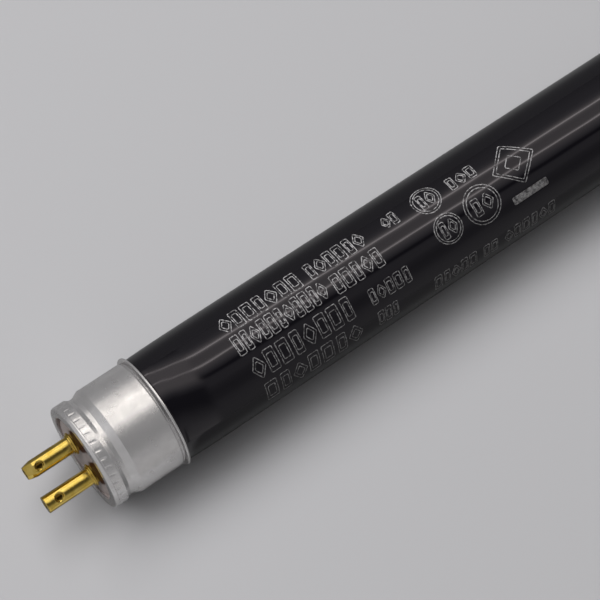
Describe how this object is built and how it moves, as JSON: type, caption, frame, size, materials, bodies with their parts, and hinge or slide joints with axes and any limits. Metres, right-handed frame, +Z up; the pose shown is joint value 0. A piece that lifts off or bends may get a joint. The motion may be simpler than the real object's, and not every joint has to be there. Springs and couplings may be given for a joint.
{
  "type": "ultraviolet black light lamp",
  "caption": "Slim dark glass fluorescent tube with an aluminium cap and a pair of hollow brass contact pins at each end; gives long wave ultraviolet light in a two pin holder.",
  "frame": {"origin": "centre of the lamp, on its axis midway between the two bases", "axes": "+X along the lamp towards the right base (the pictured base is at -X); the two pins of a base lie side by side along Y; +Z is up, square to the plane of the four pins, on the side of the punch marks"},
  "size_m": [0.3024, 0.0164, 0.0164],
  "materials": {
    "black_glass": "polished",
    "cap_aluminium": "satin",
    "pin_brass": "polished",
    "disc_phenolic": "moulded",
    "basing_cement": "matt",
    "lead_wire": "drawn"
  },
  "bodies": {
    "root": {"glass_tube": "black_glass", "cap_left": "cap_aluminium", "disc_left": "disc_phenolic", "cement_left": "basing_cement", "pin_left_front": "pin_brass", "pin_left_back": "pin_brass", "wire_left_front": "lead_wire", "wire_left_back": "lead_wire", "cap_right": "cap_aluminium", "disc_right": "disc_phenolic", "cement_right": "basing_cement", "pin_right_front": "pin_brass", "pin_right_back": "pin_brass", "wire_right_front": "lead_wire", "wire_right_back": "lead_wire"}
  },
  "joints": []
}
